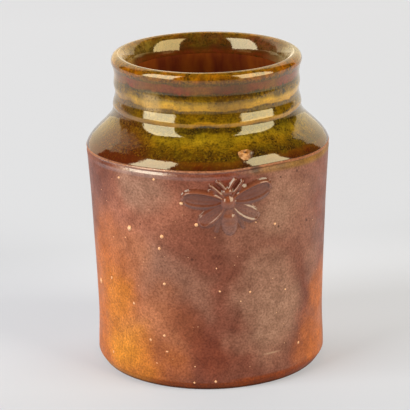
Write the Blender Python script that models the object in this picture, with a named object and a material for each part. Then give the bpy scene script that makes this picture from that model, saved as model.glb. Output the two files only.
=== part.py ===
"""Thrown stoneware storage jar: a clay body, a glaze coat on its neck and shoulder, a liner glaze
inside, a moulded bee stuck to the wall and a crumb of kiln brick caught in the shoulder glaze.

Units are metres and +Z is up. The jar stands on z = 0 round the Z axis and the bee faces -Y.
"""
import math

import bmesh
import bpy
from mathutils import Matrix, Vector, noise

# Outside of the jar, its glaze included
JAR_HEIGHT = 0.1217

# Outside of the clay, from the table up; the plain wall takes what the other heights leave
FOOT_RADIUS = 0.0445
FOOT_CHAMFER_WIDTH = 0.0021
FOOT_CHAMFER_HEIGHT = 0.0030
WAIST_RADIUS = 0.0440
WAIST_RISE = 0.0150
WALL_HOLLOW = 0.00035
SHOULDER_RADIUS = 0.04675
RIDGE_HEIGHT = 0.0016
RIDGE_GROOVE = 0.0003
RIDGE_FOOT_SHARE = 0.35
RIDGE_CROWN_SHARES = (0.65, 0.85)
SHOULDER_RISE = 0.0130
SHOULDER_SLOPE = 40.0
SHOULDER_CONE_SHARE = 0.72
SHOULDER_SWING_SHARE = 0.36
NECK_RADIUS = 0.0345
NECK_FOOT_FLARE = 0.0006
LOWER_RING_HEIGHT = 0.0078
LOWER_RING_FLANK = 0.0022
LOWER_RING_PROUD = 0.0009
UPPER_RING_HEIGHT = 0.0054
UPPER_RING_FLANK = 0.0023
UPPER_RING_PROUD = 0.0004
COVE_HEIGHT = 0.0036
RIM_ROUND = 0.0024
RIM_OVERHANG = 0.0011
RIM_SEAM_ANGLE = 45.0
RIM_INNER_ANGLE = 135.0

# Inside of the clay
RIM_THICKNESS = 0.0053
THROAT_DROP = 0.0035
NECK_WALL = 0.0032
WALL = 0.0046
FLOOR = 0.0062
FLOOR_FILLET = 0.0060

# Glaze coats and the clearance under everything that is stuck on
GLAZE = 0.0005
LINER = 0.0004
SEAT_GAP = 0.0003

# Bee, in a flat layout that is wrapped round the wall: across, up, and proud of the wall
BEE_BELOW_RIDGE = 0.0136
BEE_TILT = 4.0
BEE_CUT_STEP = 0.0040
BEE_WELD = 2e-5
HEAD_SIZE = (0.0021, 0.0018, 0.0008)
HEAD_RISE = 0.0054
THORAX_SIZE = (0.0029, 0.0030, 0.0011)
THORAX_RISE = 0.0017
ABDOMEN_SIZE = (0.0030, 0.0058, 0.0011)
ABDOMEN_DROP = 0.0058
ABDOMEN_BANDS = 4
ABDOMEN_BAND_DEPTH = 0.0002
FORE_WING_SIZE = (0.0074, 0.0030, 0.0007)
FORE_WING_OUT = 0.0088
FORE_WING_RISE = 0.0040
FORE_WING_TILT = 14.0
HIND_WING_SIZE = (0.0052, 0.0024, 0.0006)
HIND_WING_OUT = 0.0064
HIND_WING_DROP = 0.0024
HIND_WING_TILT = -28.0
LIMB_RADIUS = 0.00055
LIMB_SIDES = 6
LIMB_ROOT_SHARE = 0.4
LIMB_KNEE_SHARE = 0.65
LIMB_BOW = 0.07
FEELER_SPREAD = 0.0034
FEELER_RISE = 0.0105
FORE_LEG_SPREAD = 0.0062
FORE_LEG_RISE = 0.0088
HIND_LEG_SPREAD = 0.0058
HIND_LEG_DROP = 0.0092

# Crumb on the shoulder
CRUMB_SIZE = (0.0024, 0.0019, 0.0013)
CRUMB_BEARING = 11.5
CRUMB_SHARE = 0.42
CRUMB_ROUGHNESS = 0.0004
CRUMB_LUMPS = 1.7

TURN_STEPS = 48
WELD = 1e-7
MITRE_LIMIT = 0.5


def lathe_heights():
    """Heights of the changes in the outside: the rim, neck and shoulder hang from the crest."""
    level = {"crest": JAR_HEIGHT - GLAZE - SEAT_GAP}
    level["rim_centre"] = level["crest"] - RIM_ROUND
    level["throat"] = level["rim_centre"] - THROAT_DROP
    level["rim_seam"] = level["rim_centre"] - RIM_ROUND * math.sin(math.radians(RIM_SEAM_ANGLE))
    level["upper_ring"] = level["rim_seam"] - COVE_HEIGHT
    level["lower_ring"] = level["upper_ring"] - UPPER_RING_HEIGHT
    level["neck"] = level["lower_ring"] - LOWER_RING_HEIGHT
    level["ridge"] = level["neck"] - SHOULDER_RISE
    level["wall_top"] = level["ridge"] - RIDGE_HEIGHT
    level["bee"] = level["ridge"] - BEE_BELOW_RIDGE
    level["foot"] = FOOT_CHAMFER_HEIGHT
    level["waist"] = level["foot"] + WAIST_RISE
    return level


LEVEL = lathe_heights()


def arc(centre, radius, start, end, steps):
    """Points on a circle in the profile plane, from one angle in degrees to another."""
    points = []
    for step in range(steps + 1):
        angle = math.radians(start + (end - start) * step / steps)
        points.append((centre[0] + radius * math.cos(angle), centre[1] + radius * math.sin(angle)))
    return points


def bezier(knots, steps):
    """Points on the Bezier curve of the given knots, ends included."""
    points = []
    for step in range(steps + 1):
        row = [Vector(knot) for knot in knots]
        while len(row) > 1:
            row = [a.lerp(b, step / steps) for a, b in zip(row, row[1:])]
        points.append(tuple(row[0]))
    return points


def joined(*stretches):
    """One path from several, with the repeated meeting points taken out."""
    path = []
    for stretch in stretches:
        for point in stretch:
            if not path or (Vector(point) - Vector(path[-1])).length > WELD:
                path.append(point)
    return path


def offset(path, distance):
    """The path moved sideways to its right, with mitred corners."""
    moved = []
    for index, point in enumerate(path):
        before = Vector(point) - Vector(path[index - 1]) if index else None
        after = Vector(path[index + 1]) - Vector(point) if index + 1 < len(path) else None
        sides = [Vector((d.y, -d.x)).normalized() for d in (before, after) if d]
        middle = sum(sides, Vector((0, 0))).normalized()
        reach = distance / max(middle.dot(sides[0]), MITRE_LIMIT)
        moved.append((point[0] + middle.x * reach, point[1] + middle.y * reach))
    return moved


def wall_curve():
    """Outside of the wall from the chamfer to the groove, hollow above a slight waist."""
    wall_rise = LEVEL["wall_top"] - LEVEL["waist"]
    lean = (SHOULDER_RADIUS - WAIST_RADIUS) / wall_rise
    mid_radius = (SHOULDER_RADIUS + WAIST_RADIUS) / 2 - 2 * WALL_HOLLOW
    waist = (WAIST_RADIUS, LEVEL["waist"])
    flare = (WAIST_RADIUS - lean * WAIST_RISE / 4, LEVEL["waist"] - WAIST_RISE / 2)
    belly = (mid_radius, LEVEL["waist"] + wall_rise / 2)
    lower = bezier([(FOOT_RADIUS, LEVEL["foot"]), flare, waist], 3)
    upper = bezier([waist, belly, (SHOULDER_RADIUS, LEVEL["wall_top"])], 7)
    return joined(lower, upper)


def wall_radius(height):
    """Outside radius of the wall at a height, read off the turned outline."""
    path = wall_curve()
    for low, high in zip(path, path[1:]):
        if low[1] <= height <= high[1]:
            share = (height - low[1]) / (high[1] - low[1])
            return low[0] + (high[0] - low[0]) * share
    return path[-1][0]


def ridge_points():
    """Turned groove and the ridge above it, then the ledge that stops the glaze."""
    base = LEVEL["wall_top"]
    crown = SHOULDER_RADIUS
    return [
        (crown - RIDGE_GROOVE, base + RIDGE_HEIGHT * RIDGE_FOOT_SHARE),
        (crown, base + RIDGE_HEIGHT * RIDGE_CROWN_SHARES[0]),
        (crown, base + RIDGE_HEIGHT * RIDGE_CROWN_SHARES[1]),
        (crown - RIDGE_GROOVE, LEVEL["ridge"]),
        (crown - SEAT_GAP - GLAZE, LEVEL["ridge"]),
    ]


def shoulder_curve():
    """Glazed stretch of the shoulder, a cone that swings up into the neck."""
    foot = (ridge_points()[-1][0] - SEAT_GAP, LEVEL["ridge"] + SEAT_GAP)
    top = (NECK_RADIUS + NECK_FOOT_FLARE, LEVEL["neck"])
    slope = math.radians(SHOULDER_SLOPE)
    reach = SHOULDER_RISE * SHOULDER_CONE_SHARE
    low_handle = (foot[0] - reach * math.sin(slope), foot[1] + reach * math.cos(slope))
    high_handle = (top[0] + NECK_FOOT_FLARE, top[1] - SHOULDER_RISE * SHOULDER_SWING_SHARE)
    return bezier([foot, low_handle, high_handle, top], 8)


def neck_points():
    """Two throwing rings on the neck and the cove that runs up under the rim."""
    lower_crest = (NECK_RADIUS + LOWER_RING_PROUD, LEVEL["neck"] + LOWER_RING_FLANK)
    lower_groove = (NECK_RADIUS, LEVEL["lower_ring"])
    upper_crest = (NECK_RADIUS + UPPER_RING_PROUD, LEVEL["lower_ring"] + UPPER_RING_FLANK)
    upper_groove = (NECK_RADIUS, LEVEL["upper_ring"])
    return [lower_crest, lower_groove, upper_crest, upper_groove]


def rim_points():
    """Rolled rim from the seam of the cove over the crest to the throat inside."""
    centre = (NECK_RADIUS + RIM_OVERHANG - RIM_ROUND, LEVEL["rim_centre"])
    roll = arc(centre, RIM_ROUND, -RIM_SEAM_ANGLE, RIM_INNER_ANGLE, 8)
    throat = (centre[0] + RIM_ROUND - RIM_THICKNESS, LEVEL["throat"])
    return roll + [throat]


def glazed_path():
    """Clay under the outer glaze: shoulder, neck, rim and the slope down to the throat."""
    return joined(shoulder_curve(), neck_points(), rim_points())


def lined_path():
    """Clay under the liner: from the throat down the inside to the middle of the floor."""
    throat = rim_points()[-1]
    start = (throat[0], throat[1] - SEAT_GAP)
    neck = (NECK_RADIUS - NECK_WALL, LEVEL["neck"])
    shoulder = (SHOULDER_RADIUS - WALL, LEVEL["wall_top"] - WALL)
    corner = (shoulder[0], LEVEL["ridge"])
    inside = bezier([neck, (neck[0], LEVEL["ridge"]), corner, shoulder], 5)
    floor_radius = WAIST_RADIUS - WALL
    centre = (floor_radius - FLOOR_FILLET, FLOOR + FLOOR_FILLET)
    fillet = arc(centre, FLOOR_FILLET, 0, -90, 4)
    return joined([start], inside, fillet, [(0.0, FLOOR)])


def body_profile():
    """Whole outline of the clay from the middle of the base round to the middle of the floor."""
    base = [(0.0, 0.0), (FOOT_RADIUS - FOOT_CHAMFER_WIDTH, 0.0)]
    return joined(base, wall_curve(), ridge_points(), glazed_path(), lined_path())


def coat_profile(path, thickness):
    """Outline of a coat just clear of a path, from the far end of its back to that of its face."""
    under = offset(path, SEAT_GAP)
    over = offset(path, SEAT_GAP + thickness)
    return under[::-1] + over


def paint(obj, name, colour, roughness):
    material = bpy.data.materials.new(name)
    material.use_nodes = True
    shader = material.node_tree.nodes["Principled BSDF"]
    shader.inputs["Base Color"].default_value = (*colour, 1.0)
    shader.inputs["Roughness"].default_value = roughness
    shader.inputs["Metallic"].default_value = 0.0
    obj.data.materials.append(material)


def finished(bm, name, origin, sharp_angle):
    """Turn a bmesh into a named, smoothly shaded object with its origin where it belongs."""
    bmesh.ops.translate(bm, verts=bm.verts, vec=-Vector(origin))
    bmesh.ops.recalc_face_normals(bm, faces=bm.faces)
    mesh = bpy.data.meshes.new(name)
    bm.to_mesh(mesh)
    bm.free()
    obj = bpy.data.objects.new(name, mesh)
    obj.location = origin
    bpy.context.scene.collection.objects.link(obj)
    mesh.shade_smooth()
    mesh.set_sharp_from_angle(angle=math.radians(sharp_angle))
    return obj


def turned(profile, closed):
    """Spin an outline a whole turn about the jar's axis."""
    bm = bmesh.new()
    verts = [bm.verts.new((radius, 0.0, height)) for radius, height in profile]
    edges = [bm.edges.new(pair) for pair in zip(verts, verts[1:])]
    if closed:
        edges.append(bm.edges.new((verts[-1], verts[0])))
    bmesh.ops.spin(bm, geom=verts + edges, cent=(0, 0, 0), axis=(0, 0, 1), angle=math.tau,
                   steps=TURN_STEPS, use_merge=True)
    bmesh.ops.remove_doubles(bm, verts=bm.verts, dist=WELD)
    return bm


def lozenge(size, place, tilt, rings):
    """Ellipsoid lying in the flat layout, turned in its own plane."""
    bm = bmesh.new()
    bmesh.ops.create_uvsphere(bm, u_segments=16, v_segments=rings, radius=1.0)
    shape = Matrix.Translation(place) @ Matrix.Rotation(math.radians(tilt), 4, "Z")
    bmesh.ops.transform(bm, matrix=shape @ Matrix.Diagonal((*size, 1.0)), verts=bm.verts)
    return bm


def limb(points):
    """Thin round rod along a bent path in the flat layout, closed at both ends."""
    bm = bmesh.new()
    loops = []
    for index, point in enumerate(points):
        behind = Vector(points[max(index - 1, 0)])
        ahead = Vector(points[min(index + 1, len(points) - 1)])
        along = (ahead - behind).normalized()
        turn = along.to_track_quat("Z", "Y").to_matrix().to_4x4()
        ring = bmesh.ops.create_circle(bm, segments=LIMB_SIDES, radius=LIMB_RADIUS,
                                       matrix=Matrix.Translation(point) @ turn)["verts"]
        loops.append(ring)
    for low, high in zip(loops, loops[1:]):
        rims = [edge for edge in bm.edges if all(v in low for v in edge.verts)]
        rims += [edge for edge in bm.edges if all(v in high for v in edge.verts)]
        bmesh.ops.bridge_loops(bm, edges=rims)
    bmesh.ops.holes_fill(bm, edges=bm.edges, sides=LIMB_SIDES)
    bmesh.ops.recalc_face_normals(bm, faces=bm.faces)
    return bm


def limb_ends():
    """Root and tip of a feeler, a fore leg and a hind leg on the right of the bee."""
    cheek = Vector((HEAD_SIZE[0], HEAD_SIZE[1])) * LIMB_ROOT_SHARE
    flank = Vector((THORAX_SIZE[0], THORAX_SIZE[1])) * LIMB_ROOT_SHARE
    return [
        (Vector((cheek.x, HEAD_RISE + cheek.y)), Vector((FEELER_SPREAD, FEELER_RISE))),
        (Vector((flank.x, THORAX_RISE + flank.y)), Vector((FORE_LEG_SPREAD, FORE_LEG_RISE))),
        (Vector((flank.x, THORAX_RISE - flank.y)), Vector((HIND_LEG_SPREAD, -HIND_LEG_DROP))),
    ]


def bowed(root, tip, side):
    """Path of a limb on one side of the bee, bent outwards at the knee."""
    along = tip - root
    outward = Vector((along.y, -along.x)) * math.copysign(1, along.y)
    knee = root + along * LIMB_KNEE_SHARE + outward * LIMB_BOW
    return [(side * point.x, point.y, 0.0) for point in (root, knee, tip)]


def loose_object(bm, name):
    mesh = bpy.data.meshes.new(name)
    bm.to_mesh(mesh)
    bm.free()
    obj = bpy.data.objects.new(name, mesh)
    bpy.context.scene.collection.objects.link(obj)
    return obj


def abdomen_shape():
    """Abdomen with shallow rings pressed across it."""
    bm = lozenge(ABDOMEN_SIZE, (0.0, -ABDOMEN_DROP, 0.0), 0.0, 12)
    for vert in bm.verts:
        share = (vert.co.y + ABDOMEN_DROP) / ABDOMEN_SIZE[1]
        wave = (1 - math.cos(share * ABDOMEN_BANDS * math.pi)) / 2
        vert.co.z -= math.copysign(ABDOMEN_BAND_DEPTH * wave * (1 - share * share), vert.co.z)
    return bm


def bee_shapes():
    """All the solids of the bee in the flat layout, left and right alike."""
    shapes = [lozenge(THORAX_SIZE, (0.0, THORAX_RISE, 0.0), 0.0, 8)]
    shapes.append(abdomen_shape())
    shapes.append(lozenge(HEAD_SIZE, (0.0, HEAD_RISE, 0.0), 0.0, 8))
    for side in (-1, 1):
        fore = (side * FORE_WING_OUT, FORE_WING_RISE, 0.0)
        hind = (side * HIND_WING_OUT, -HIND_WING_DROP, 0.0)
        shapes.append(lozenge(FORE_WING_SIZE, fore, side * FORE_WING_TILT, 8))
        shapes.append(lozenge(HIND_WING_SIZE, hind, side * HIND_WING_TILT, 8))
        shapes += [limb(bowed(root, tip, side)) for root, tip in limb_ends()]
    return shapes


def united(shapes):
    """One solid from overlapping solids, as a bmesh."""
    objects = [loose_object(bm, "bee_shape") for bm in shapes]
    base = objects[0]
    for tool in objects[1:]:
        join = base.modifiers.new("join", "BOOLEAN")
        join.operation = "UNION"
        join.solver = "EXACT"
        join.object = tool
    graph = bpy.context.evaluated_depsgraph_get()
    bm = bmesh.new()
    bm.from_mesh(base.evaluated_get(graph).to_mesh())
    for obj in objects:
        bpy.data.objects.remove(obj)
    return bm


def backed(bm):
    """Cut the flat layout through its middle and close the back."""
    geom = bm.verts[:] + bm.edges[:] + bm.faces[:]
    cut = bmesh.ops.bisect_plane(bm, geom=geom, plane_co=(0, 0, 0), plane_no=(0, 0, 1),
                                 clear_inner=True)
    rim = [item for item in cut["geom_cut"] if isinstance(item, bmesh.types.BMEdge)]
    bmesh.ops.contextual_create(bm, geom=rim)
    bmesh.ops.remove_doubles(bm, verts=bm.verts, dist=BEE_WELD)


def bee_mesh():
    """The bee wrapped round the wall with the seat gap behind it."""
    bm = united(bee_shapes())
    backed(bm)
    tilt = Matrix.Rotation(math.radians(BEE_TILT), 3, "Z")
    bmesh.ops.rotate(bm, cent=(0, 0, 0), matrix=tilt, verts=bm.verts)
    reach = FORE_WING_OUT + FORE_WING_SIZE[0]
    cuts = math.ceil(reach / BEE_CUT_STEP)
    for cut in range(-cuts, cuts + 1):
        geom = bm.verts[:] + bm.edges[:] + bm.faces[:]
        bmesh.ops.bisect_plane(bm, geom=geom, plane_co=(cut * BEE_CUT_STEP, 0, 0),
                               plane_no=(1, 0, 0))
    bmesh.ops.triangulate(bm, faces=bm.faces)
    for vert in bm.verts:
        height = LEVEL["bee"] + vert.co.y
        bearing = vert.co.x / wall_radius(LEVEL["bee"])
        radius = wall_radius(height) + SEAT_GAP + vert.co.z
        vert.co = (radius * math.sin(bearing), -radius * math.cos(bearing), height)
    return bm


def crumb_seat():
    """Point on the glaze where the crumb sits and the direction that it sticks out."""
    path = offset(shoulder_curve(), SEAT_GAP + GLAZE)
    index = round(CRUMB_SHARE * (len(path) - 1))
    here = Vector(path[index])
    along = (Vector(path[index + 1]) - Vector(path[index - 1])).normalized()
    turn = Matrix.Rotation(math.radians(CRUMB_BEARING), 4, "Z")
    seat = turn @ Vector((0.0, -here.x, here.y))
    out = turn @ Vector((0.0, -along.y, -along.x))
    return seat, out


def crumb_mesh():
    """Lumpy bit of kiln brick, resting just clear of the glaze."""
    bm = bmesh.new()
    bmesh.ops.create_icosphere(bm, subdivisions=2, radius=1.0)
    for vert in bm.verts:
        bump = noise.noise(vert.co * CRUMB_LUMPS) * CRUMB_ROUGHNESS
        vert.co = Vector(part * size for part, size in zip(vert.co, CRUMB_SIZE)) + vert.co * bump
    lowest = min(vert.co.z for vert in bm.verts)
    seat, out = crumb_seat()
    turn = out.to_track_quat("Z", "Y").to_matrix().to_4x4()
    lift = Matrix.Translation((0.0, 0.0, SEAT_GAP - lowest))
    bmesh.ops.transform(bm, matrix=Matrix.Translation(seat) @ turn @ lift, verts=bm.verts)
    return bm, seat


def build():
    for obj in list(bpy.data.objects):
        bpy.data.objects.remove(obj)
    foot = (0.0, 0.0, 0.0)
    jar = finished(turned(body_profile(), False), "jar_body", foot, 35)
    paint(jar, "salt_glazed_stoneware", (0.155, 0.082, 0.062), 0.5)
    ledge = (0.0, 0.0, LEVEL["ridge"])
    coat = finished(turned(coat_profile(glazed_path(), GLAZE), True), "shoulder_glaze", ledge, 50)
    paint(coat, "amber_ash_glaze", (0.150, 0.090, 0.018), 0.1)
    floor = (0.0, 0.0, FLOOR)
    lining = finished(turned(coat_profile(lined_path(), LINER), False), "liner_glaze", floor, 50)
    paint(lining, "brown_liner_glaze", (0.060, 0.016, 0.008), 0.12)
    bee_seat = (0.0, -wall_radius(LEVEL["bee"]), LEVEL["bee"])
    bee = finished(bee_mesh(), "bee_sprig", bee_seat, 40)
    paint(bee, "sprig_clay", (0.170, 0.088, 0.066), 0.45)
    crumb, crumb_place = crumb_mesh()
    crumb = finished(crumb, "kiln_crumb", crumb_place, 60)
    paint(crumb, "kiln_brick", (0.300, 0.150, 0.070), 0.7)


build()
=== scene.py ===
import math
import random

import bmesh
import bpy
from mathutils import Matrix, Vector, noise


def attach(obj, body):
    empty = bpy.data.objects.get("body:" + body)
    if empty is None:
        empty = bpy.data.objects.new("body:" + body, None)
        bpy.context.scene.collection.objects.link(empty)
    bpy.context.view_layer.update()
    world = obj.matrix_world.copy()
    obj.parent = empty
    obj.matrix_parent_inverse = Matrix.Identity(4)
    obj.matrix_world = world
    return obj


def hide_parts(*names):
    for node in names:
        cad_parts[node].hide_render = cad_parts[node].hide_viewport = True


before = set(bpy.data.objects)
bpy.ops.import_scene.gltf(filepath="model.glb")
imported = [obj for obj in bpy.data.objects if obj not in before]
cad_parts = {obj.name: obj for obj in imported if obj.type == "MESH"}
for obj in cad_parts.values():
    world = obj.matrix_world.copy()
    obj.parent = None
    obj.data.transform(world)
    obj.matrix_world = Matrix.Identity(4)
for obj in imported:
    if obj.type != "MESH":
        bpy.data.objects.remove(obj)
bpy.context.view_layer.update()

scene = bpy.context.scene
mm = 0.001


# Small helpers

def linear(hexColour):
    # sRGB hex to the linear red, green, blue and alpha that the shader works in
    channels = [int(hexColour[i:i + 2], 16) / 255 for i in (1, 3, 5)]
    return (*(c / 12.92 if c <= 0.04045 else ((c + 0.055) / 1.055) ** 2.4 for c in channels), 1.0)


def feed(tree, node, inputs):
    # outputs of other nodes are linked to a node's sockets, constants are set on them
    for name, value in inputs.items():
        if isinstance(value, bpy.types.NodeSocket):
            tree.links.new(value, node.inputs[name])
        else:
            node.inputs[name].default_value = value


def addNode(tree, kind, inputs=None, out=0, stops=(), **settings):
    # one shader node with its settings, links and colour stops; gives back one of its outputs
    node = tree.nodes.new("ShaderNode" + kind)
    for name, value in settings.items():
        setattr(node, name, value)
    feed(tree, node, inputs or {})
    if stops:
        parts = node.color_ramp.elements
        while len(parts) < len(stops):
            parts.new(0.5)
        for part, (position, tone) in zip(parts, stops):
            part.position = position
        for part, (position, tone) in zip(parts, stops):
            part.color = linear(tone)
    return node.outputs[out]


def newMaterial(name):
    material = bpy.data.materials.new(name)
    material.use_nodes = True
    return material, material.node_tree, material.node_tree.nodes["Principled BSDF"]


def fade(value, start, full):
    # 0 up to the start, 1 once full
    return min(max((value - start) / (full - start), 0), 1)


def curveThrough(points, steps):
    # smooth path through a few (radius, height) points in millimetres
    path = []
    ends = [points[0]] + list(points) + [points[-1]]
    for a, b, c, d in zip(ends, ends[1:], ends[2:], ends[3:]):
        for step in range(steps):
            t = step / steps
            spot = []
            for p, q, r, s in zip(a, b, c, d):
                bend = (2 * p - 5 * q + 4 * r - s) * t * t + (3 * q - p - 3 * r + s) * t ** 3
                spot.append(0.5 * (2 * q + (r - p) * t + bend))
            path.append(tuple(spot))
    path.append(points[-1])
    return path


def arcPoints(centre, radius, start, end, steps):
    angles = [math.radians(start + (end - start) * i / steps) for i in range(steps + 1)]
    return [(centre[0] + radius * math.cos(a), centre[1] + radius * math.sin(a)) for a in angles]


def offsetPath(path, distance):
    # the same path moved to its right by a distance
    moved = []
    for index, point in enumerate(path):
        before = Vector(path[max(index - 1, 0)])
        after = Vector(path[min(index + 1, len(path) - 1)])
        along = (after - before).normalized()
        moved.append((point[0] + along.y * distance, point[1] - along.x * distance))
    return moved


def spinPath(path, steps, closed):
    bm = bmesh.new()
    verts = [bm.verts.new((r * mm, 0, z * mm)) for r, z in path]
    edges = [bm.edges.new(pair) for pair in zip(verts, verts[1:])]
    if closed:
        edges.append(bm.edges.new((verts[-1], verts[0])))
    bmesh.ops.spin(bm, geom=verts + edges, cent=(0, 0, 0), axis=(0, 0, 1), angle=math.tau,
                   steps=steps, use_merge=True)
    bmesh.ops.remove_doubles(bm, verts=bm.verts, dist=1e-7)
    return bm


def finishPiece(bm, name, material, slot, *nodes):
    bmesh.ops.recalc_face_normals(bm, faces=bm.faces)
    mesh = bpy.data.meshes.new(name)
    bm.to_mesh(mesh)
    bm.free()
    mesh.shade_smooth()
    mesh.materials.append(material)
    piece = bpy.data.objects.new(name, mesh)
    scene.collection.objects.link(piece)
    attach(piece, "root")
    if nodes:
        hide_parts(*nodes)
    print(name, len(mesh.polygons), "faces")


def bearingSpot(bearing, height, radius=45):
    # a point on the jar, bearing in degrees from the bee towards the right, sizes in millimetres
    turn = math.radians(bearing)
    return (radius * math.sin(turn) * mm, -radius * math.cos(turn) * mm, height * mm)


# Outline of the jar in millimetres, read from table to rim and down the inside

jar = {
    "base": [(0, 0), (42.3, 0)], "chamfer": [(42.4, 0.05), (42.715, 0.25), (44.15, 2.4), (44.5, 3.3)],
    "wall": [(44.4, 7), (44.02, 18), (44.3, 30), (44.9, 48), (45.55, 65), (46.3, 78), (46.6, 83.6)],
    "ridge": [(46.75, 84.9), (46.45, 85.7), (46.4, 86.0), (46.75, 86.5), (46.75, 86.9), (46.5, 87.2)],
    "shoulder": [(46.6, 87.3), (46.0, 88.4), (44.78, 90), (43.82, 91), (42.32, 92.5), (40.74, 94),
                 (39.24, 95.5), (37.89, 97), (37.12, 98), (36.6, 99), (36.28, 100), (36.1, 100.8)],
    "rings": [(36.02, 101.3), (36.18, 102.3), (36.05, 103.2), (35.75, 104.4), (35.42, 105.6),
              (35.3, 106.6), (35.28, 107.4), (35.35, 108.2), (35.6, 109.4), (35.7, 110.4),
              (35.56, 112), (35.42, 113.3), (35.46, 114.6), (35.75, 116.2)],
    "rimCentre": (33.85, 119.0), "rimRound": 2.62, "rimArc": (-30, 98),
    "lip": [(32.6, 121.33), (32.0, 120.85), (31.4, 120.25), (30.9, 119.6), (30.5, 118.95), (30.15, 118.2),
            (29.85, 117.35), (29.62, 116.4), (29.44, 115.4), (29.35, 114.7), (29.3, 113.9)],
    "inside": [(29.34, 114.3), (29.32, 112.8), (29.55, 110.5), (30.2, 106), (30.9, 100), (31.9, 95),
               (35, 89.5), (39, 85.5), (41.4, 80), (41.1, 70), (40.2, 50), (39.4, 24), (39.1, 13.5)],
    "filletCentre": (33.1, 12.6), "filletRound": 6, "filletArc": (0, -90), "insideFloor": (0, 6.6),
    "steps": {"chamfer": 4, "wall": 12, "ridge": 5, "neck": 6, "rim": 20, "lip": 5, "inside": 6, "fillet": 8},
    "turns": 128, "coat": 0.35, "coatThick": 0.28,  # the coats are a little thinner than the room left for them
}

# slips of the hand, in millimetres; the ridge's waves are (bearing, width in degrees, rise)
wobble = {
    "oval": 0.12, "ovalTurn": 0.8, "lobe": 0.05, "lobeTwist": 40, "hand": 0.12, "handScale": 45,
    "ridge": 0.35, "ridgeWaves": [(23, 22, 1.15), (-94, 30, -0.9), (-33, 20, 0.25)],
    "wallFade": (70, 84), "shoulderFade": (101, 91),
}


def wallPath():
    path = list(jar["base"])
    for part in ("chamfer", "wall", "ridge"):
        path += curveThrough(jar[part], jar["steps"][part])
    return path


def neckPath():
    steps = jar["steps"]
    outside = curveThrough(jar["shoulder"] + jar["rings"], steps["neck"])
    roll = arcPoints(jar["rimCentre"], jar["rimRound"], *jar["rimArc"], steps["rim"])
    return outside + roll + curveThrough([roll[-1]] + jar["lip"], steps["lip"])[1:]


def innerPath():
    steps = jar["steps"]
    fillet = arcPoints(jar["filletCentre"], jar["filletRound"], *jar["filletArc"], steps["fillet"])
    return curveThrough(jar["inside"], steps["inside"]) + fillet + [jar["insideFloor"]]


def wallReach(height):
    # radius of the wall at one height
    path = wallPath()
    for low, high in zip(path, path[1:]):
        if low[1] <= height <= high[1] and high[1] > low[1]:
            return low[0] + (high[0] - low[0]) * (height - low[1]) / (high[1] - low[1])
    return max(radius for radius, rise in jar["ridge"])


def ridgeLift(place):
    # how far the ridge rises or sags at one bearing, fading out down the wall and up the shoulder
    bearing = math.degrees(math.atan2(place.x, -place.y))
    rise = wobble["ridge"]
    for middle, width, high in wobble["ridgeWaves"]:
        rise += high * math.exp(-((bearing - middle) / width) ** 2)
    share = fade(place.z / mm, *wobble["wallFade"]) * fade(place.z / mm, *wobble["shoulderFade"])
    return rise * share * share * (3 - 2 * share) * mm


def handWobble(bm):
    # a thrown pot is never quite round or level; the lift is kept so that its colours can follow
    lifted = bm.verts.layers.float.new("lift")
    for vert in bm.verts:
        reach = math.hypot(vert.co.x, vert.co.y)
        if reach < 1e-6:
            continue
        vert[lifted] = ridgeLift(vert.co)
        vert.co.z += vert[lifted]
        turn = math.atan2(vert.co.y, vert.co.x)
        drift = wobble["oval"] * math.cos(2 * turn + wobble["ovalTurn"])
        drift += wobble["lobe"] * math.cos(3 * turn + vert.co.z * wobble["lobeTwist"])
        drift += wobble["hand"] * noise.noise(vert.co * wobble["handScale"])
        vert.co.x *= 1 + drift * mm / reach
        vert.co.y *= 1 + drift * mm / reach


# Parts of a surface's look

def objectPlace(tree, drift, size):
    # object coordinates, and the same pushed about by a noise so that edges wander like fired clay
    place = addNode(tree, "TexCoord", out="Object")
    cloud = addNode(tree, "TexNoise", {"Vector": place, "Scale": 1 / (size * mm), "Detail": 3.0}, "Color")
    centred = addNode(tree, "VectorMath", {0: cloud, 1: (0.5, 0.5, 0.5)}, operation="SUBTRACT")
    push = addNode(tree, "VectorMath", {0: centred, "Scale": drift * mm}, operation="SCALE")
    return place, addNode(tree, "VectorMath", {0: place, 1: push}, operation="ADD")


def levelHeight(tree, place):
    # height above the table, less the rise and sag of the ridge
    height = addNode(tree, "SeparateXYZ", {"Vector": place}, "Z")
    lift = addNode(tree, "Attribute", out="Fac", attribute_name="lift")
    return addNode(tree, "Math", {0: height, 1: lift}, operation="SUBTRACT")


def patchMask(tree, place, centre, inner, outer, strength=1.0):
    # soft-edged round patch, full inside one radius and gone beyond the other, in millimetres
    reach = addNode(tree, "VectorMath", {0: place, 1: centre}, "Value", operation="DISTANCE")
    edges = {"Value": reach, "From Min": outer * mm, "From Max": inner * mm, "To Max": strength}
    return addNode(tree, "MapRange", edges, interpolation_type="SMOOTHSTEP")


def ringMask(tree, height, low, high, soft):
    # ring between two heights in millimetres, with soft edges
    lower = {"Value": height, "From Min": (low - soft) * mm, "From Max": low * mm}
    upper = {"Value": height, "From Min": (high + soft) * mm, "From Max": high * mm}
    rise = addNode(tree, "MapRange", lower, interpolation_type="SMOOTHSTEP")
    fall = addNode(tree, "MapRange", upper, interpolation_type="SMOOTHSTEP")
    return addNode(tree, "Math", {0: rise, 1: fall}, operation="MULTIPLY")


def speckle(tree, place, size, detail, low, high, least=0.0, most=1.0, run=1.0):
    # noise with features of about one size in millimetres, drawn out in height by a run below 1,
    # as a mask that rises between two of its levels
    drawn = addNode(tree, "VectorMath", {0: place, 1: (1, 1, run)}, operation="MULTIPLY")
    cloud = addNode(tree, "TexNoise", {"Vector": drawn, "Scale": 1 / (size * mm), "Detail": detail})
    levels = {"Value": cloud, "From Min": low, "From Max": high, "To Min": least, "To Max": most}
    return addNode(tree, "MapRange", levels)


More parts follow.
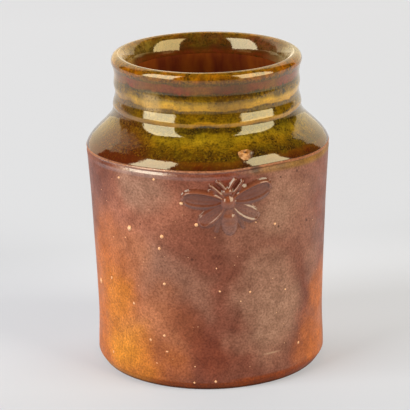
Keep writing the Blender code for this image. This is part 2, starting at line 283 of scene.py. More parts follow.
def lay(tree, under, over, *masks):
    # one colour over another, where all the masks meet
    share = masks[0]
    for mask in masks[1:]:
        share = addNode(tree, "Math", {0: share, 1: mask}, operation="MULTIPLY")
    return addNode(tree, "Mix", {0: share, 6: under, 7: over}, 2, data_type="RGBA")


def skin(tree, place, layers):
    # normal of an uneven surface in layers of (grain in millimetres, detail, depth in millimetres, strength)
    normal = None
    for size, detail, depth, strength in layers:
        cloud = addNode(tree, "TexNoise", {"Vector": place, "Scale": 1 / (size * mm), "Detail": detail})
        inputs = {"Height": cloud, "Distance": depth * mm, "Strength": strength}
        if normal:
            inputs["Normal"] = normal
        normal = addNode(tree, "Bump", inputs, "Normal")
    return normal


# Salt-glazed clay

clayLook = {
    "tones": {
        "base": "#a16252", "dusk": "#8b4e3e", "rose": "#c27d67", "orange": "#e48034", "gold": "#fea834",
        "ash": "#c49987", "ember": "#8b391d", "ridge": "#c07e5a", "run": "#a67937", "speck": "#4a281f",
        "haze": "#b58574", "foot": "#a2480a", "peach": "#e1936b", "pale": "#efcaad", "drip": "#552b11",
    },
    "wander": (26, 22),
    # flame marks: tone, bearing, height, inner and outer radius, strength
    "patches": [
        ("rose", -46, 66, 6, 27, 0.9), ("rose", -28, 70, 4, 20, 0.6), ("ash", -40, 81, 3, 15, 0.75),
        ("dusk", -74, 82, 5, 17, 0.6), ("haze", 33, 73, 4, 26, 0.8), ("haze", -35, 48, 4, 17, 0.75),
        ("haze", 4, 62, 4, 18, 0.4), ("ash", 26, 26, 6, 18, 0.8), ("ash", 20, 42, 4, 18, 0.6),
        ("dusk", 40, 36, 4, 14, 0.2), ("haze", 51, 42, 3, 10, 0.4), ("haze", 50, 52, 4, 15, 0.35),
        ("orange", -72, 16, 10, 36, 1.0), ("orange", -76, 36, 6, 28, 0.9), ("orange", -70, 57, 2, 18, 0.6),
        ("peach", -50, 50, 4, 17, 0.6), ("peach", -38, 24, 5, 22, 0.85), ("orange", -42, 8, 2, 17, 0.7),
        ("gold", -55, 12, 3, 21, 0.85), ("gold", -64, 33, 2, 15, 0.45), ("ember", -12, 15, 5, 19, 0.5),
        ("haze", 3, 20, 3, 11, 0.5), ("ember", 0, 80.5, 4, 10, 0.7), ("haze", -17, 39, 3, 13, 0.6),
        ("haze", 25, 11, 3, 12, 0.5), ("ash", 23, 71, 3, 13, 0.5), ("orange", 59, 9, 5, 19, 0.9),
        ("orange", 67, 31, 4, 17, 0.85), ("dusk", -16, 60, 4, 13, 0.5), ("ember", -22, 27, 3, 11, 0.35),
        ("orange", 158, 30, 4, 40, 0.9), ("ash", 112, 60, 8, 26, 0.7), ("rose", -150, 66, 10, 32, 0.8),
        ("gold", 168, 14, 2, 25, 0.7),
    ],
    # glaze run over the ridge, the bare ridge, then the foot: toasted, higher on the right, gilt on the
    # left, dark at the table as painted contact shadow; each is a tone, a ring, a patch (bearing, height,
    # radius, inner, outer), strength
    "rings": [
        ("run", (84.6, 86.4, 1.6), (48, 86, 47, 15, 36), 0.9), ("ridge", (86.5, 87.2, 0.3), None, 1.0),
        ("foot", (0.0, 2.7, 0.9), None, 0.92), ("foot", (0.0, 3.8, 1.2), (30, 2, 44, 12, 27), 0.8),
        # the last ring, dark below 0.5 mm, is painted contact shadow where the chamfer meets the table
        ("gold", (0.0, 2.7, 0.9), (-66, 2, 44, 10, 28), 0.65), ("drip", (0.0, 0.5, 0.9), None, 0.75),
    ],
    "drip": (13, 87.5, 46.8), "dripSize": (0.9, 2.7, 0.8),
    "smudge": (-59, 27.4), "smudgeSize": (0.6, 2.6, 0.6),
    "scratch": (22.5, 12.6), "scratchSize": (0.5, 5.5, 0.3), "scratchFlat": 9,
    # dark spots at small pits: painted shade for hollows that are not modelled
    "pits": [(-17.4, 53, 0.8), (45, 62, 0.8), (25.5, 63.2, 0.7), (36, 83.4, 0.8), (26, 82.6, 0.6),
             (-43.5, 65, 0.6)],
    "pitInner": 0.4, "pitShare": 0.75,
    # two veils that darken the grain: size, detail, levels, darkest tone
    "grain": [(0.75, 3.0, 0.30, 0.70, "#c0b7b1"), (5.5, 4.0, 0.32, 0.66, "#dad4d0")],
    # noises: size, detail, low and high level, least and most
    "cloud": (17, 4.0, 0.28, 0.76), "iron": (1.5, 1.0, 0.69, 0.75), "ironShare": 0.45,
    "satin": (6, 2.0, 0.3, 0.7, 0.36, 0.50), "ior": 1.6, "skin": [(0.9, 2.0, 0.12, 0.8), (3.2, 1.0, 0.2, 0.3)],
    "glossRing": (84.2, 88.0, 1.2), "glossSpot": (-31, 85.5, 47), "glossSize": (22, 40), "glossRough": 0.2,
    "shine": (0.17, 1.0), "dryFoot": 3.5, "dryShare": 0.2,
}


def clayColour(tree):
    # mauve brown clay, flashed orange by the flame low on the left and on the right edge
    look = clayLook
    tone = {name: linear(value) for name, value in look["tones"].items()}
    place, wander = objectPlace(tree, *look["wander"])
    height = levelHeight(tree, place)
    shade = lay(tree, tone["base"], tone["dusk"], speckle(tree, place, *look["cloud"]))
    for name, bearing, rise, inner, outer, strength in look["patches"]:
        flame = patchMask(tree, wander, bearingSpot(bearing, rise), inner, outer, strength)
        shade = lay(tree, shade, tone[name], flame)
    for name, ring, patch, strength in look["rings"]:
        masks = [ringMask(tree, height, *ring), strength]
        if patch:
            masks[1] = patchMask(tree, wander, bearingSpot(*patch[:3]), *patch[3:], strength)
        shade = lay(tree, shade, tone[name], *masks)
    drip = patchMask(tree, place, bearingSpot(*look["drip"]), *look["dripSize"])
    shade = lay(tree, shade, tone["drip"], drip)
    for size, detail, low, high, darkest in look["grain"]:
        cloud = addNode(tree, "TexNoise", {"Vector": place, "Scale": 1 / (size * mm), "Detail": detail})
        veil = addNode(tree, "ValToRGB", {"Fac": cloud}, stops=[(low, darkest), (high, "#ffffff")])
        shade = addNode(tree, "Mix", {0: 1.0, 6: shade, 7: veil}, 2, data_type="RGBA", blend_type="MULTIPLY")
    smudge = patchMask(tree, wander, bearingSpot(*look["smudge"]), *look["smudgeSize"])
    shade = lay(tree, shade, tone["speck"], smudge)
    bearing, rise = look["scratch"]
    flat = addNode(tree, "VectorMath", {0: place, 1: (1, 1, look["scratchFlat"])}, operation="MULTIPLY")
    scratch = patchMask(tree, flat, bearingSpot(bearing, rise * look["scratchFlat"]), *look["scratchSize"])
    shade = lay(tree, shade, tone["pale"], scratch)
    # painted shade at small pits, which have no hollow here
    for bearing, rise, wide in look["pits"]:
        spot = bearingSpot(bearing, rise, wallReach(rise))
        pit = patchMask(tree, place, spot, wide * look["pitInner"], wide, look["pitShare"])
        shade = lay(tree, shade, tone["speck"], pit)
    iron = speckle(tree, place, *look["iron"])
    return place, height, lay(tree, shade, tone["speck"], iron, look["ironShare"])


def clayMaterial():
    # stoneware fired with salt: a satin orange-peel skin, glossier close under the ridge, dull at the foot
    material, tree, shader = newMaterial("saltGlazedStoneware")
    look = clayLook
    place, height, shade = clayColour(tree)
    glossSpot = patchMask(tree, place, bearingSpot(*look["glossSpot"]), *look["glossSize"])
    glossRing = ringMask(tree, height, *look["glossRing"])
    gloss = addNode(tree, "Math", {0: glossRing, 1: glossSpot}, operation="MULTIPLY")
    satin = speckle(tree, place, *look["satin"])
    least, most = look["shine"]
    shine = addNode(tree, "MapRange", {"Value": gloss, "To Min": least, "To Max": most})
    levels = {"Value": height, "From Max": look["dryFoot"] * mm, "To Min": look["dryShare"]}
    shine = addNode(tree, "Math", {0: shine, 1: addNode(tree, "MapRange", levels)}, operation="MULTIPLY")
    feed(tree, shader, {
        "Base Color": shade, "IOR": look["ior"], "Specular IOR Level": shine,
        "Roughness": addNode(tree, "Mix", {0: gloss, 2: satin, 3: look["glossRough"]}),
        "Normal": skin(tree, place, look["skin"]),
    })
    return material


# Shoulder glaze: tones of the bands by height, then what runs, clots and flecks over them

glazeLook = {
    "low": 87.0, "high": 122.0, "wander": (3.2, 9),
    # the tan bands at 101.6-102.6 and 107.8-110.3 mm are glaze colour brightened with painted reflection of the
    # pale floor, which the rings' down-facing sides mirror
    "bands": [
        (87.2, "#4a1805"), (88.3, "#582406"), (89.2, "#683709"), (90.6, "#512d05"), (92.6, "#614006"),
        (94.6, "#936b0e"), (96.6, "#a18016"), (98.6, "#7e640c"), (99.4, "#392806"), (101.0, "#392705"),
        (101.6, "#b47b13"), (102.6, "#c28c1f"), (103.2, "#886306"), (105.6, "#765203"), (107.2, "#724d03"),
        (107.8, "#dba022"), (109.3, "#e6ae28"), (110.3, "#aa8212"), (111.8, "#7f5607"), (112.7, "#513206"),
        (113.2, "#372806"), (113.8, "#7e2f20"), (116.6, "#7e301a"), (117.2, "#532803"), (118.4, "#a85805"),
        (120.6, "#b26405"), (121.6, "#9f680e"),
    ],
    "tones": {
        "veil": "#7b5a06", "leaf": "#6d5f0c", "drip": "#342b0a", "mottle": "#3f2b08", "blot": "#5a3006",
        "darkFleck": "#342406", "paleFleck": "#b48e16", "sheen": "#fff6dd", "honey": "#ffe9b8",
    },
    # inside the rim, from the throat up to the crest
    "throat": 115.0, "crest": 121.6, "innerReach": (32.8, 31.8), "innerTop": (116.0, 118.6),
    "innerBands": [(0.0, "#6a2a12"), (0.2, "#50240c"), (0.45, "#5a340c"), (0.72, "#705109"), (1.0, "#a06b13")],
    # the first inner patch, at bearing -128, is olive glaze lightened with painted reflection of the back panel
    "innerPatches": [("#937737", -128, 0.75), ("#583016", 174, 0.9), ("#703728", 122, 0.9)],
    "innerPatchAt": (118, 31), "innerPatchSize": (6, 20),
    "cleanRings": [(101.4, 102.8), (87.0, 89.6), (107.8, 110.2), (113.6, 116.8)],
    "cleanSoft": 0.5, "cleanShare": 0.4,
    # thick or thin places, and some painted light noted below: tone, bearing, height, radius, inner, outer,
    # strength
    "patches": [
        ("#5a210c", -63, 87, 45, 10, 25, 0.85), ("#4e2d0c", 80, 89, 45, 6, 19, 0.75),
        # pale neck ends at bearings -100 and 88: glaze colour, partly painted reflection of the pale backdrop
        ("#856b40", -100, 106, 36, 8, 24, 0.6), ("#9a875a", 88, 106, 36, 8, 24, 0.6),
        # the second patch, at bearing -45, is painted reflection of the floor brightening the tan band
        ("#6b452d", -70, 105.5, 36, 3, 10, 0.55), ("#e6c087", -45, 109, 36, 2, 5.5, 0.35),
        # the second patch here and the first on the next line are painted reflection of the back panels at the
        # inner rim's left and right ends
        ("#554011", -61, 105.6, 36, 2, 6, 0.45), ("#d3a661", -99, 119, 31.5, 3, 13, 0.8),
        ("#b9a682", 81, 119, 31.5, 3, 13, 0.8), ("#3f1b03", 6, 112.4, 36, 4, 11, 0.5),
        # the first patch is painted shadow of the crumb, over darker glaze pooled round it on its right
        ("#2d1a0e", 15, 91.6, 44, 2, 4.6, 0.6), ("#3e1809", 10, 89.6, 45.6, 1.6, 4.4, 0.8),
    ],
    # noises: size, detail, low and high level, least and most, run
    "veil": (9, 3.0, 0.42, 0.66, 0.0, 1.0, 0.5), "veilRise": (89.5, 93.5), "veilShare": 0.5,
    "leaf": (7, 3.0, 0.46, 0.60), "leafShare": 0.3,
    "drips": (2.0, 4.0, 0.44, 0.62, 0.0, 1.0, 0.5), "dripShare": 0.35,
    "clumps": (8, 2.0, 0.38, 0.56, 0.15, 0.95), "clumpRing": (111.2, 113.4, 1.6),
    "mottle": (3.6, 4.0, 0.44, 0.66), "mottleShare": 0.52,
    "blot": (2.2, 3.0, 0.5, 0.64, 0.0, 1.0, 0.6), "blotRing": (117.8, 121.0, 0.5), "blotShare": 0.6,
    "darkFleck": (0.75, 3.0, 0.50, 0.38), "darkShare": (0.36, 0.78), "darkFull": 0.7,
    "paleFleck": (0.75, 3.0, 0.54, 0.66), "paleShare": (0.2, 0.05),
    "honeySpot": (-152, 118, 31), "honeySize": (12, 22),
    "roughness": 0.07, "ior": 1.79, "skin": [(2.4, 2.0, 0.12, 0.12), (0.7, 1.0, 0.05, 0.26)],
}


def glazeMaterial():
    # runny wood-ash glaze: glassy amber and olive bands, dark flecks, drips pulled down by the heat
    material, tree, shader = newMaterial("amberAshGlaze")
    look = glazeLook
    tone = {name: linear(value) for name, value in look["tones"].items()}
    place, wander = objectPlace(tree, *look["wander"])
    height = levelHeight(tree, wander)
    span = look["high"] - look["low"]
    stops = [((z - look["low"]) / span, hexColour) for z, hexColour in look["bands"]]
    levels = {"Value": height, "From Min": look["low"] * mm, "From Max": look["high"] * mm}
    shade = addNode(tree, "ValToRGB", {"Fac": addNode(tree, "MapRange", levels)}, stops=stops)
    low, high = look["veilRise"]
    levels = {"Value": height, "From Min": low * mm, "From Max": high * mm, "To Max": look["veilShare"]}
    veil = speckle(tree, place, *look["veil"])
    shade = lay(tree, shade, tone["veil"], veil, addNode(tree, "MapRange", levels))
    # inside the rim the coat runs from amber on the crest to dark red-brown at the throat
    across = addNode(tree, "VectorMath", {0: place, 1: (1, 1, 0)}, operation="MULTIPLY")
    reach = addNode(tree, "VectorMath", {0: across}, "Value", operation="LENGTH")
    outer, inner = look["innerReach"]
    inside = addNode(tree, "MapRange", {"Value": reach, "From Min": outer * mm, "From Max": inner * mm})
    levels = {"Value": height, "From Min": look["throat"] * mm, "From Max": look["crest"] * mm}
    depth = addNode(tree, "MapRange", levels)
    innerShade = addNode(tree, "ValToRGB", {"Fac": depth}, stops=look["innerBands"])
    low, high = look["innerTop"]
    upper = addNode(tree, "MapRange", {"Value": height, "From Min": low * mm, "From Max": high * mm})
    for hexColour, bearing, strength in look["innerPatches"]:
        spot = bearingSpot(bearing, *look["innerPatchAt"])
        patch = patchMask(tree, wander, spot, *look["innerPatchSize"], strength)
        innerShade = lay(tree, innerShade, linear(hexColour), upper, patch)
    shade = lay(tree, shade, innerShade, inside)
    # the raised tan bands, partly painted reflection of the pale floor on the rings' down-facing sides, stay
    # clean; the hollows between them are streaked, blotched and flecked
    clean = 0.0
    for low, high in look["cleanRings"]:
        ring = ringMask(tree, height, low, high, look["cleanSoft"])
        clean = addNode(tree, "Math", {0: clean, 1: ring}, operation="MAXIMUM")
    busy = addNode(tree, "MapRange", {"Value": clean, "To Min": 1.0, "To Max": look["cleanShare"]})
    shade = lay(tree, shade, tone["leaf"], speckle(tree, wander, *look["leaf"]), busy, look["leafShare"])
    # drips hang in clumps from the red ring under the rim, fewer elsewhere
    clumps = speckle(tree, place, *look["clumps"])
    hanging = ringMask(tree, height, *look["clumpRing"])
    hanging = addNode(tree, "Math", {0: hanging, 1: clumps}, operation="MULTIPLY")
    fewer = addNode(tree, "Math", {0: busy, 1: look["dripShare"]}, operation="MULTIPLY")
    share = addNode(tree, "Math", {0: fewer, 1: hanging}, operation="MAXIMUM")
    shade = lay(tree, shade, tone["drip"], speckle(tree, wander, *look["drips"]), share)
    mottle = speckle(tree, wander, *look["mottle"])
    shade = lay(tree, shade, tone["mottle"], mottle, busy, look["mottleShare"])
    for hexColour, bearing, rise, radius, inner, outer, strength in look["patches"]:
        patch = patchMask(tree, wander, bearingSpot(bearing, rise, radius), inner, outer, strength)
        shade = lay(tree, shade, linear(hexColour), patch)
    blotRing = ringMask(tree, height, *look["blotRing"])
    shade = lay(tree, shade, tone["blot"], speckle(tree, place, *look["blot"]), blotRing, look["blotShare"])
    # dark flecks gather where the mottle is thick, pale ones are sparse inside the rim
    least, most = look["darkShare"]
    levels = {"Value": mottle, "From Max": look["darkFull"], "To Min": least, "To Max": most}
    dark = speckle(tree, place, *look["darkFleck"])
    shade = lay(tree, shade, tone["darkFleck"], dark, addNode(tree, "MapRange", levels), busy)
    outside, within = look["paleShare"]
    levels = {"Value": inside, "To Min": outside, "To Max": within}
    pale = speckle(tree, place, *look["paleFleck"])
    shade = lay(tree, shade, tone["paleFleck"], pale, addNode(tree, "MapRange", levels), busy)
    # thick honey-coloured glass inside the rim warms what it mirrors
    thick = patchMask(tree, place, bearingSpot(*look["honeySpot"]), *look["honeySize"])
    feed(tree, shader, {
        "Base Color": shade, "Roughness": look["roughness"], "IOR": look["ior"],
        "Specular Tint": lay(tree, tone["sheen"], tone["honey"], inside, thick),
        "Normal": skin(tree, place, look["skin"]),
    })
    return material


linerLook = {
    "dark": "#612716", "red": "#874316", "wander": (3, 9), "streak": (4.5, 4.0, 0.35, 0.70, 0.0, 1.0, 0.22),
    "roughness": 0.1, "ior": 1.79, "skin": [(2.4, 2.0, 0.15, 0.12)],
}


def linerMaterial():
    # dark red-brown iron glaze, glossy, with streaks running down
    material, tree, shader = newMaterial("brownLinerGlaze")
    look = linerLook
    place, wander = objectPlace(tree, *look["wander"])
    streak = speckle(tree, wander, *look["streak"])
    feed(tree, shader, {
        "Base Color": lay(tree, linear(look["dark"]), linear(look["red"]), streak),
        "Roughness": look["roughness"], "IOR": look["ior"], "Normal": skin(tree, place, look["skin"]),
    })
    return material


clay = clayMaterial()
glaze = glazeMaterial()
liner = linerMaterial()
print("materials made")

# The clay body under its glaze coats, closed through the inside

underGlaze = offsetPath(neckPath(), -jar["coat"])[2:]
underLiner = offsetPath(innerPath(), -jar["coat"])[1:]
body = spinPath(wallPath() + underGlaze + underLiner, jar["turns"], False)
handWobble(body)
finishPiece(body, "jarBody", clay, "clay", "jar_body")

shell = neckPath() + offsetPath(neckPath(), -jar["coatThick"])[::-1]
coatMesh = spinPath(shell, jar["turns"], True)
handWobble(coatMesh)
finishPiece(coatMesh, "shoulderGlaze", glaze, "shoulder_glaze", "shoulder_glaze")

lining = offsetPath(innerPath(), -jar["coatThick"])[::-1] + innerPath()
lining[0] = (0, lining[0][1])
linerMesh = spinPath(lining, jar["turns"], False)
handWobble(linerMesh)
finishPiece(linerMesh, "linerGlaze", liner, "liner_glaze", "liner_glaze")


# The bee: a soft relief raised from a grid and wrapped round the wall, alike left and right

bee = {
    "height": 73.4, "tilt": 4.0, "across": 18.5, "up": 13.5, "cell": 0.22, "sink": 0.35, "seat": 0.02,
    "thinnest": 0.015, "softenings": 3,
    "foreWing": {"root": (1.6, 2.4), "tip": (16.4, 4.8), "broad": 3.2, "rim": 1.4, "low": 0.45, "web": 0.32},
    "hindWing": {"root": (1.6, 0.4), "tip": (10.8, -5.6), "broad": 2.6, "rim": 0.45, "low": 1.9, "web": 0.26},
    "wingEnds": (-0.03, 1.05), "swell": 1.55, "rootCurve": 0.62, "tipCurve": 0.38,
    "capFrom": 0.96, "capAt": 0.985, "lowEdge": 0.3, "rimRound": 0.66,
    "veins": (0.35, -0.4), "vein": 0.14, "veinRound": 0.3, "domeCurve": 0.8,
    "thorax": ((0, 1.8), (2.9, 3.0), 2.15), "head": ((0, 5.6), (2.2, 1.7), 1.5),
    "pool": ((5.4, 5.9), (2.5, 1.5), 0.85), "abdomen": ((0, -5.3), (3.1, 5.9), 1.5),
    "rings": 4, "ringDepth": 0.16,
    "limbs": [([(0.7, 6.6), (1.9, 8.4), (3.2, 9.7)], 1.0), ([(1.6, 4.2), (4.4, 7.2), (5.8, 8.6)], 1.1),
              ([(1.8, -0.6), (3.9, -5.2), (5.2, -8.6)], 0.3)],
    "limbRound": 0.72,
    # painted shade of the relief: a darker tone over low relief, a lighter one over high, mixed in more towards
    # the top
    "sunkShade": "#5c2c1a", "reliefShade": "#8c5238", "reliefShadeRise": (0.2, 1.4), "shadeHeight": (68, 80), "shadeHeightShare": (0.3, 0.7),
    "roughness": 0.12, "ior": 1.65, "skin": [(0.9, 2.0, 0.06, 0.3)],
}


def sprigMaterial():
    # the same clay, glossier where the salt glaze lies thicker, with painted shade: darker over low relief than
    # high, and more of it towards the top
    material, tree, shader = newMaterial("glossySprigClay")
    place, height, shade = clayColour(tree)
    relief = addNode(tree, "Attribute", out="Fac", attribute_name="relief")
    low, high = bee["reliefShadeRise"]
    raised = addNode(tree, "MapRange", {"Value": relief, "From Min": low, "From Max": high})
    reliefShade = lay(tree, linear(bee["sunkShade"]), linear(bee["reliefShade"]), raised)
    (low, high), (least, most) = bee["shadeHeight"], bee["shadeHeightShare"]
    levels = {"Value": height, "From Min": low * mm, "From Max": high * mm, "To Min": least, "To Max": most}
    feed(tree, shader, {
        "Base Color": lay(tree, shade, reliefShade, addNode(tree, "MapRange", levels)),
        "Roughness": bee["roughness"], "IOR": bee["ior"], "Normal": skin(tree, place, bee["skin"]),
    })
    return material


def domeHeight(u, v, dome):
    (cu, cv), (ru, rv), rise = dome
    q = ((u - cu) / ru) ** 2 + ((v - cv) / rv) ** 2
    return rise * (1 - q) ** bee["domeCurve"] if q < 1 else 0


def wingHeight(u, v, wing):
    # raised rim round a thin web, with two veins
    root = Vector(wing["root"])
    along = Vector(wing["tip"]) - root
    length = along.length
    along.normalize()
    spot = Vector((u, v)) - root
    s = spot.dot(along) / length
    first, last = bee["wingEnds"]
    if s < first or s > last:
        return 0
    side = along.x * spot.y - along.y * spot.x
    t = min(max(s, 0.001), 0.999)
    half = wing["broad"] * bee["swell"] * t ** bee["rootCurve"] * (1 - t) ** bee["tipCurve"]
    gap = abs(side) - half
    if s > bee["capFrom"]:
        gap = max(gap, (s - bee["capAt"]) * length)
    lower = 0.5 - 0.5 * math.tanh(side / (bee["lowEdge"] * wing["broad"]))
    rim = wing["rim"] * (1 + (wing["low"] - 1) * lower) * math.exp(-(gap / bee["rimRound"]) ** 2)
    if gap > 0:
        return rim
    vein = min(abs(side - share * half) for share in bee["veins"])
    return max(rim, wing["web"] + bee["vein"] * math.exp(-(vein / bee["veinRound"]) ** 2))


def limbHeight(u, v, bends, high):
    # round bead along a bent line
    spot, thick = Vector((u, v)), bee["limbRound"]
    near = thick
    for a, b in zip(bends, bends[1:]):
        start, step = Vector(a), Vector(b) - Vector(a)
        share = min(max((spot - start).dot(step) / step.length_squared, 0), 1)
        near = min(near, (spot - start - step * share).length)
    return high * math.sqrt(1 - (near / thick) ** 2) if near < thick else 0


def reliefHeight(u, v):
    u = abs(u)
    belly = domeHeight(u, v, bee["abdomen"])
    middle, half = bee["abdomen"][0][1], bee["abdomen"][1][1]
    wave = math.cos((v - middle) / half * bee["rings"] * math.pi)
    belly -= bee["ringDepth"] * (0.5 + 0.5 * wave) * belly
    shapes = [belly] + [domeHeight(u, v, bee[part]) for part in ("thorax", "head", "pool")]
    shapes += [wingHeight(u, v, bee[part]) for part in ("foreWing", "hindWing")]
    shapes += [limbHeight(u, v, bends, high) for bends, high in bee["limbs"]]
    return max(shapes)


def beeMesh():
    bm = bmesh.new()
    columns = round(2 * bee["across"] / bee["cell"])
    rows = round(2 * bee["up"] / bee["cell"])
    bmesh.ops.create_grid(bm, x_segments=columns, y_segments=rows, size=1.0)
    raised = bm.verts.layers.float.new("relief")
    for vert in bm.verts:
        u, v = vert.co.x * bee["across"], vert.co.y * bee["up"]
        vert.co = (u, v, reliefHeight(u, v))
        vert[raised] = vert.co.z
    for again in range(bee["softenings"]):
        bmesh.ops.smooth_vert(bm, verts=bm.verts, factor=0.5, use_axis_x=False, use_axis_y=False,
                              use_axis_z=True)
    thinnest = bee["thinnest"]
    flat = [face for face in bm.faces if all(vert.co.z < thinnest for vert in face.verts)]
    bmesh.ops.delete(bm, geom=flat, context="FACES")
    tilt = math.radians(bee["tilt"])
    reach = wallReach(bee["height"])
    for vert in bm.verts:
        u, v, w = vert.co
        u, v = u * math.cos(tilt) - v * math.sin(tilt), u * math.sin(tilt) + v * math.cos(tilt)
        height = bee["height"] + v
        radius = wallReach(height) + w - (bee["sink"] if w < thinnest else bee["seat"])
        turn = u / reach
        vert.co = (radius * math.sin(turn) * mm, -radius * math.cos(turn) * mm, height * mm)
    handWobble(bm)
    return bm


finishPiece(beeMesh(), "beeSprig", sprigMaterial(), "sprig", "bee_sprig")


# Grit that shows in the wall: larger grains as (bearing, height, size), then a scatter of small ones

grit = {
    "grains": [(-55, 81.4, 0.75), (-34.8, 83, 0.62), (-50, 62.4, 1.44), (-32, 61.3, 0.94), (-33.5, 56.4, 0.81),
               (-80.5, 34.4, 1.38), (-66.5, 39.1, 0.75), (-31.6, 42.4, 0.75), (-15, 66.8, 0.94),
               (-21.7, 74.9, 0.94), (23.4, 64.5, 0.75), (-4.4, 40.2, 0.56), (10.6, 38.9, 0.62),
               (30.5, 37, 0.44), (-49.8, 32.1, 0.62), (-32.7, 21.3, 0.69), (-40.4, 18.7, 0.62),
               (-31.3, 15, 0.56), (-67.7, 8.2, 0.69), (40.2, 13.1, 0.69), (-7.1, 3.9, 0.62),
               (-17.5, 3.4, 0.56)],
    "scatter": 120, "lowest": 4, "highest": 83, "smallest": 0.14, "largest": 0.34, "flat": 0.35, "seed": 11,
    "sizePower": 3, "long": (0.8, 1.1), "wide": (0.7, 1.0),
    "pale": "#ffd3ad", "tan": "#efa674", "mottle": 1.2, "roughness": 0.4, "ior": 1.5,
}


def gritMaterial():
    # pale quartz that popped out of the clay in the fire, dull beside the salt glaze
    material, tree, shader = newMaterial("quartzGrit")
    place = addNode(tree, "TexCoord", out="Object")
    cloud = addNode(tree, "TexNoise", {"Vector": place, "Scale": 1 / (grit["mottle"] * mm), "Detail": 1.0})
    shade = lay(tree, linear(grit["pale"]), linear(grit["tan"]), cloud)
    feed(tree, shader, {"Base Color": shade, "Roughness": grit["roughness"], "IOR": grit["ior"]})
    return material


def gritMesh():
    dice = random.Random(grit["seed"])
    grains = list(grit["grains"])
    for index in range(grit["scatter"]):
        size = grit["smallest"] + (grit["largest"] - grit["smallest"]) * dice.random() ** grit["sizePower"]
        grains.append((dice.uniform(-180, 180), dice.uniform(grit["lowest"], grit["highest"]), size))
    bm = bmesh.new()
    for bearing, height, size in grains:
        made = bmesh.ops.create_icosphere(bm, subdivisions=1, radius=1.0)["verts"]
        spot = Vector(bearingSpot(bearing, height, wallReach(height)))
        out = Vector((spot.x, spot.y, 0)).normalized()
        turn = out.to_track_quat("Z", "Y").to_matrix().to_4x4()
        squash = Matrix.Diagonal((size * dice.uniform(*grit["long"]) * mm,
                                  size * dice.uniform(*grit["wide"]) * mm, size * grit["flat"] * mm, 1))
        roll = Matrix.Rotation(dice.uniform(0, math.tau), 4, "Z")
        bmesh.ops.transform(bm, matrix=Matrix.Translation(spot) @ turn @ roll @ squash, verts=made)
    handWobble(bm)
    return bm


finishPiece(gritMesh(), "quartzGrit", gritMaterial(), "clay")


# Crumb of kiln brick caught in the shoulder glaze, broken open on top

crumb = {
    "bearing": 9.4, "radius": 43.8, "height": 91.2, "slope": 44, "size": (2.75, 2.05, 1.9), "lift": 0.05,
    "rough": 0.3, "roughScale": 1.6, "roughPlace": (3.1, 0.4, 1.2), "fine": 0.12, "fineScale": 4.5,
    "dentAt": (-0.12, 0.34), "dentWide": 0.13, "dentDeep": 0.75,
    # the two darkest tones are painted shade on the crumb's right side and in its dent
    "brick": "#a86b32", "pale": "#d89f6b", "sideShade": "#47260c", "hollow": "#542a10",
    "mottle": (1.4, 2.0, 0.38, 0.62), "sideShadeSpot": (13.0, 92.4, 44.6), "sideShadeSize": (1.2, 3.2, 0.95),
    "hollowRise": (0.25, 0.85), "hollowShare": 0.85, "roughness": 0.25, "ior": 1.5,
}


def crumbMaterial():
    # orange brick glazed over on its sides, with painted shade on its right side and in its hollow
    material, tree, shader = newMaterial("kilnBrick")
    place = addNode(tree, "TexCoord", out="Object")
    mottle = speckle(tree, place, *crumb["mottle"])
    shade = lay(tree, linear(crumb["brick"]), linear(crumb["pale"]), mottle)
    sideShade = patchMask(tree, place, bearingSpot(*crumb["sideShadeSpot"]), *crumb["sideShadeSize"])
    shade = lay(tree, shade, linear(crumb["sideShade"]), sideShade)
    low, high = crumb["hollowRise"]
    hollow = addNode(tree, "Attribute", out="Fac", attribute_name="hollow")
    levels = {"Value": hollow, "From Min": low, "From Max": high, "To Max": crumb["hollowShare"]}
    shade = lay(tree, shade, linear(crumb["hollow"]), addNode(tree, "MapRange", levels))
    feed(tree, shader, {"Base Color": shade, "Roughness": crumb["roughness"], "IOR": crumb["ior"]})
    return material


def crumbMesh():
    bm = bmesh.new()
    bmesh.ops.create_icosphere(bm, subdivisions=4, radius=1.0)
    hollow = bm.verts.layers.float.new("hollow")
    dentX, dentY = crumb["dentAt"]
    for vert in bm.verts:
        bump = 1 + crumb["rough"] * noise.noise(vert.co * crumb["roughScale"] + Vector(crumb["roughPlace"]))
        bump += crumb["fine"] * noise.noise(vert.co * crumb["fineScale"])
        vert.co *= bump
        if vert.co.z > 0:
            away = (vert.co.x - dentX) ** 2 + (vert.co.y - dentY) ** 2
            vert[hollow] = math.exp(-away / crumb["dentWide"])
            vert.co.z -= crumb["dentDeep"] * vert[hollow]
    turn = math.radians(crumb["bearing"])
    rise = math.radians(crumb["slope"])
    out = Vector((math.sin(turn) * math.cos(rise), -math.cos(turn) * math.cos(rise), math.sin(rise)))
    seat = Vector(bearingSpot(crumb["bearing"], crumb["height"], crumb["radius"]))
    seat.z += ridgeLift(seat)
    place = Matrix.Translation(seat + out * crumb["lift"] * mm)
    aimUp = out.to_track_quat("Z", "Y").to_matrix().to_4x4()
    squash = Matrix.Diagonal((*(part * mm for part in crumb["size"]), 1))
    bmesh.ops.transform(bm, matrix=place @ aimUp @ squash, verts=bm.verts)
    return bm


finishPiece(crumbMesh(), "kilnCrumb", crumbMaterial(), "crumb", "kiln_crumb")


# Studio: pale floor, two soft boxes in front and white panels behind, the left one fading towards the front

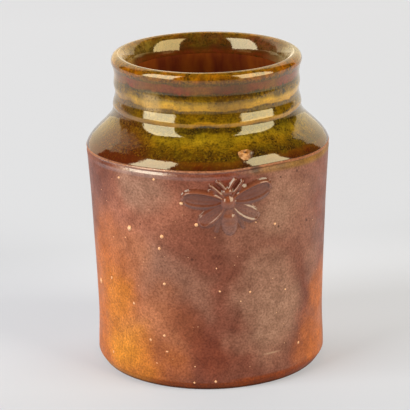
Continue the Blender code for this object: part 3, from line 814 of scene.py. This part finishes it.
studio = {
    "azimuth": -8.9, "elevation": 17.75, "distance": 0.8, "lens": 179.6, "sensor": 36, "roll": 1.0,
    "aim": (0, 0, 0.060), "aimRight": -0.0015,
    # name, azimuth, facing, reach, width, low edge, high edge, radiance, colour
    "panels": [
        ("keyLeft", -64, -41, 1.28, 1.04, 0.13, 1.85, 6.35, (1.0, 0.96, 0.77)),
        ("keyRight", 66, 42, 1.28, 1.12, 0.13, 1.85, 5.5, (1.0, 0.93, 0.66)),
        ("wallLeft", -153, -153, 1.7, 1.68, 0.02, 2.2, 1.1, (1.0, 0.88, 0.66)),
        ("fadeLeft", -122.5, -122.5, 1.7, 0.26, 0.92, 2.2, 0.6, (1.0, 0.88, 0.66)),
        ("edgeLeft", -114.5, -114.5, 1.7, 0.21, 1.25, 2.2, 0.28, (1.0, 0.88, 0.66)),
        ("wallRight", 157, 157, 1.7, 1.7, 0.02, 2.2, 1.1, (1.0, 0.88, 0.66)),
    ],
    "worldLight": 0.02,
    "floorColour": "#b4bad3", "floorRough": 0.9, "floorShine": 0.1, "floorSize": 12,
    "floorGlow": (0.185, 0.295), "glowDepth": (-0.2, 0.6),
    "floorFill": 0.1, "fillDepth": (25, 75, 65), "glowFront": (-0.30, -0.09),
}


def towards(azimuth, elevation):
    # direction from the jar, azimuth counted from the camera to its right
    turn = math.radians(studio["azimuth"] + azimuth)
    rise = math.radians(elevation)
    return Vector((math.sin(turn) * math.cos(rise), -math.cos(turn) * math.cos(rise), math.sin(rise)))


def softBox(name, azimuth, facing, reach, width, low, high, radiance, warmth):
    # upright panel of light between two heights, square to the facing direction
    lamp = bpy.data.lights.new(name, "AREA")
    lamp.shape = "RECTANGLE"
    lamp.size = width
    lamp.size_y = high - low
    lamp.energy = radiance * math.pi * width * (high - low)
    lamp.color = warmth
    holder = bpy.data.objects.new(name, lamp)
    scene.collection.objects.link(holder)
    spot = towards(azimuth, 0) * reach + Vector((0, 0, (low + high) / 2))
    turn = towards(facing, 0).to_track_quat("Z", "Y").to_matrix().to_4x4()
    holder.matrix_world = Matrix.Translation(spot) @ turn


for panel in studio["panels"]:
    softBox(*panel)


def floorMaterial():
    # matt pale paper; part of its paleness is glow that only the camera and mirrors see, less in front, and
    # more beside and behind the jar as painted light over its shadow
    material, tree, shader = newMaterial("studioFloor")
    depth = addNode(tree, "SeparateXYZ", {"Vector": addNode(tree, "TexCoord", out="Object")}, "Y")
    (front, back), (frontGlow, backGlow) = studio["glowDepth"], studio["floorGlow"]
    levels = {"Value": depth, "From Min": front, "From Max": back, "To Min": frontGlow, "To Max": backGlow}
    besideJar = ringMask(tree, depth, *studio["fillDepth"])
    besideJar = addNode(tree, "Math", {0: besideJar, 1: studio["floorFill"]}, operation="MULTIPLY")
    glow = addNode(tree, "Math", {0: addNode(tree, "MapRange", levels), 1: besideJar}, operation="ADD")
    dark, full = studio["glowFront"]
    inFrame = addNode(tree, "MapRange", {"Value": depth, "From Min": dark, "From Max": full})
    rays = addNode(tree, "LightPath").node.outputs
    seen = rays["Is Camera Ray"]
    for ray in ("Is Glossy Ray", "Is Transmission Ray"):
        seen = addNode(tree, "Math", {0: seen, 1: rays[ray]}, operation="MAXIMUM")
    for mask in (inFrame, seen):
        glow = addNode(tree, "Math", {0: glow, 1: mask}, operation="MULTIPLY")
    feed(tree, shader, {
        "Base Color": linear(studio["floorColour"]), "Roughness": studio["floorRough"],
        "Specular IOR Level": studio["floorShine"],
        "Emission Color": linear("#ffffff"), "Emission Strength": glow,
    })
    return material


floorMesh = bmesh.new()
bmesh.ops.create_grid(floorMesh, x_segments=2, y_segments=2, size=studio["floorSize"] / 2)
floorData = bpy.data.meshes.new("floor")
floorMesh.to_mesh(floorData)
floorMesh.free()
floorData.materials.append(floorMaterial())
floor = bpy.data.objects.new("floor", floorData)
scene.collection.objects.link(floor)

world = bpy.data.worlds.new("studioWorld")
scene.world = world
world.use_nodes = True
backing = world.node_tree.nodes["Background"]
feed(world.node_tree, backing, {"Color": linear("#ffffff"), "Strength": studio["worldLight"]})

camera = bpy.data.cameras.new("camera")
camera.lens = studio["lens"]
camera.sensor_width = studio["sensor"]
viewer = bpy.data.objects.new("camera", camera)
scene.collection.objects.link(viewer)
outward = towards(0, studio["elevation"])
facing = outward.to_track_quat("Z", "Y").to_matrix().to_4x4()
level = Matrix.Rotation(math.radians(-studio["roll"]), 4, "Z")
right = facing.to_3x3() @ Vector((1, 0, 0))
aim = Vector(studio["aim"]) + right * studio["aimRight"]
viewer.matrix_world = Matrix.Translation(aim + outward * studio["distance"]) @ facing @ level
scene.camera = viewer
scene.view_settings.view_transform = "Standard"
print("studio set")
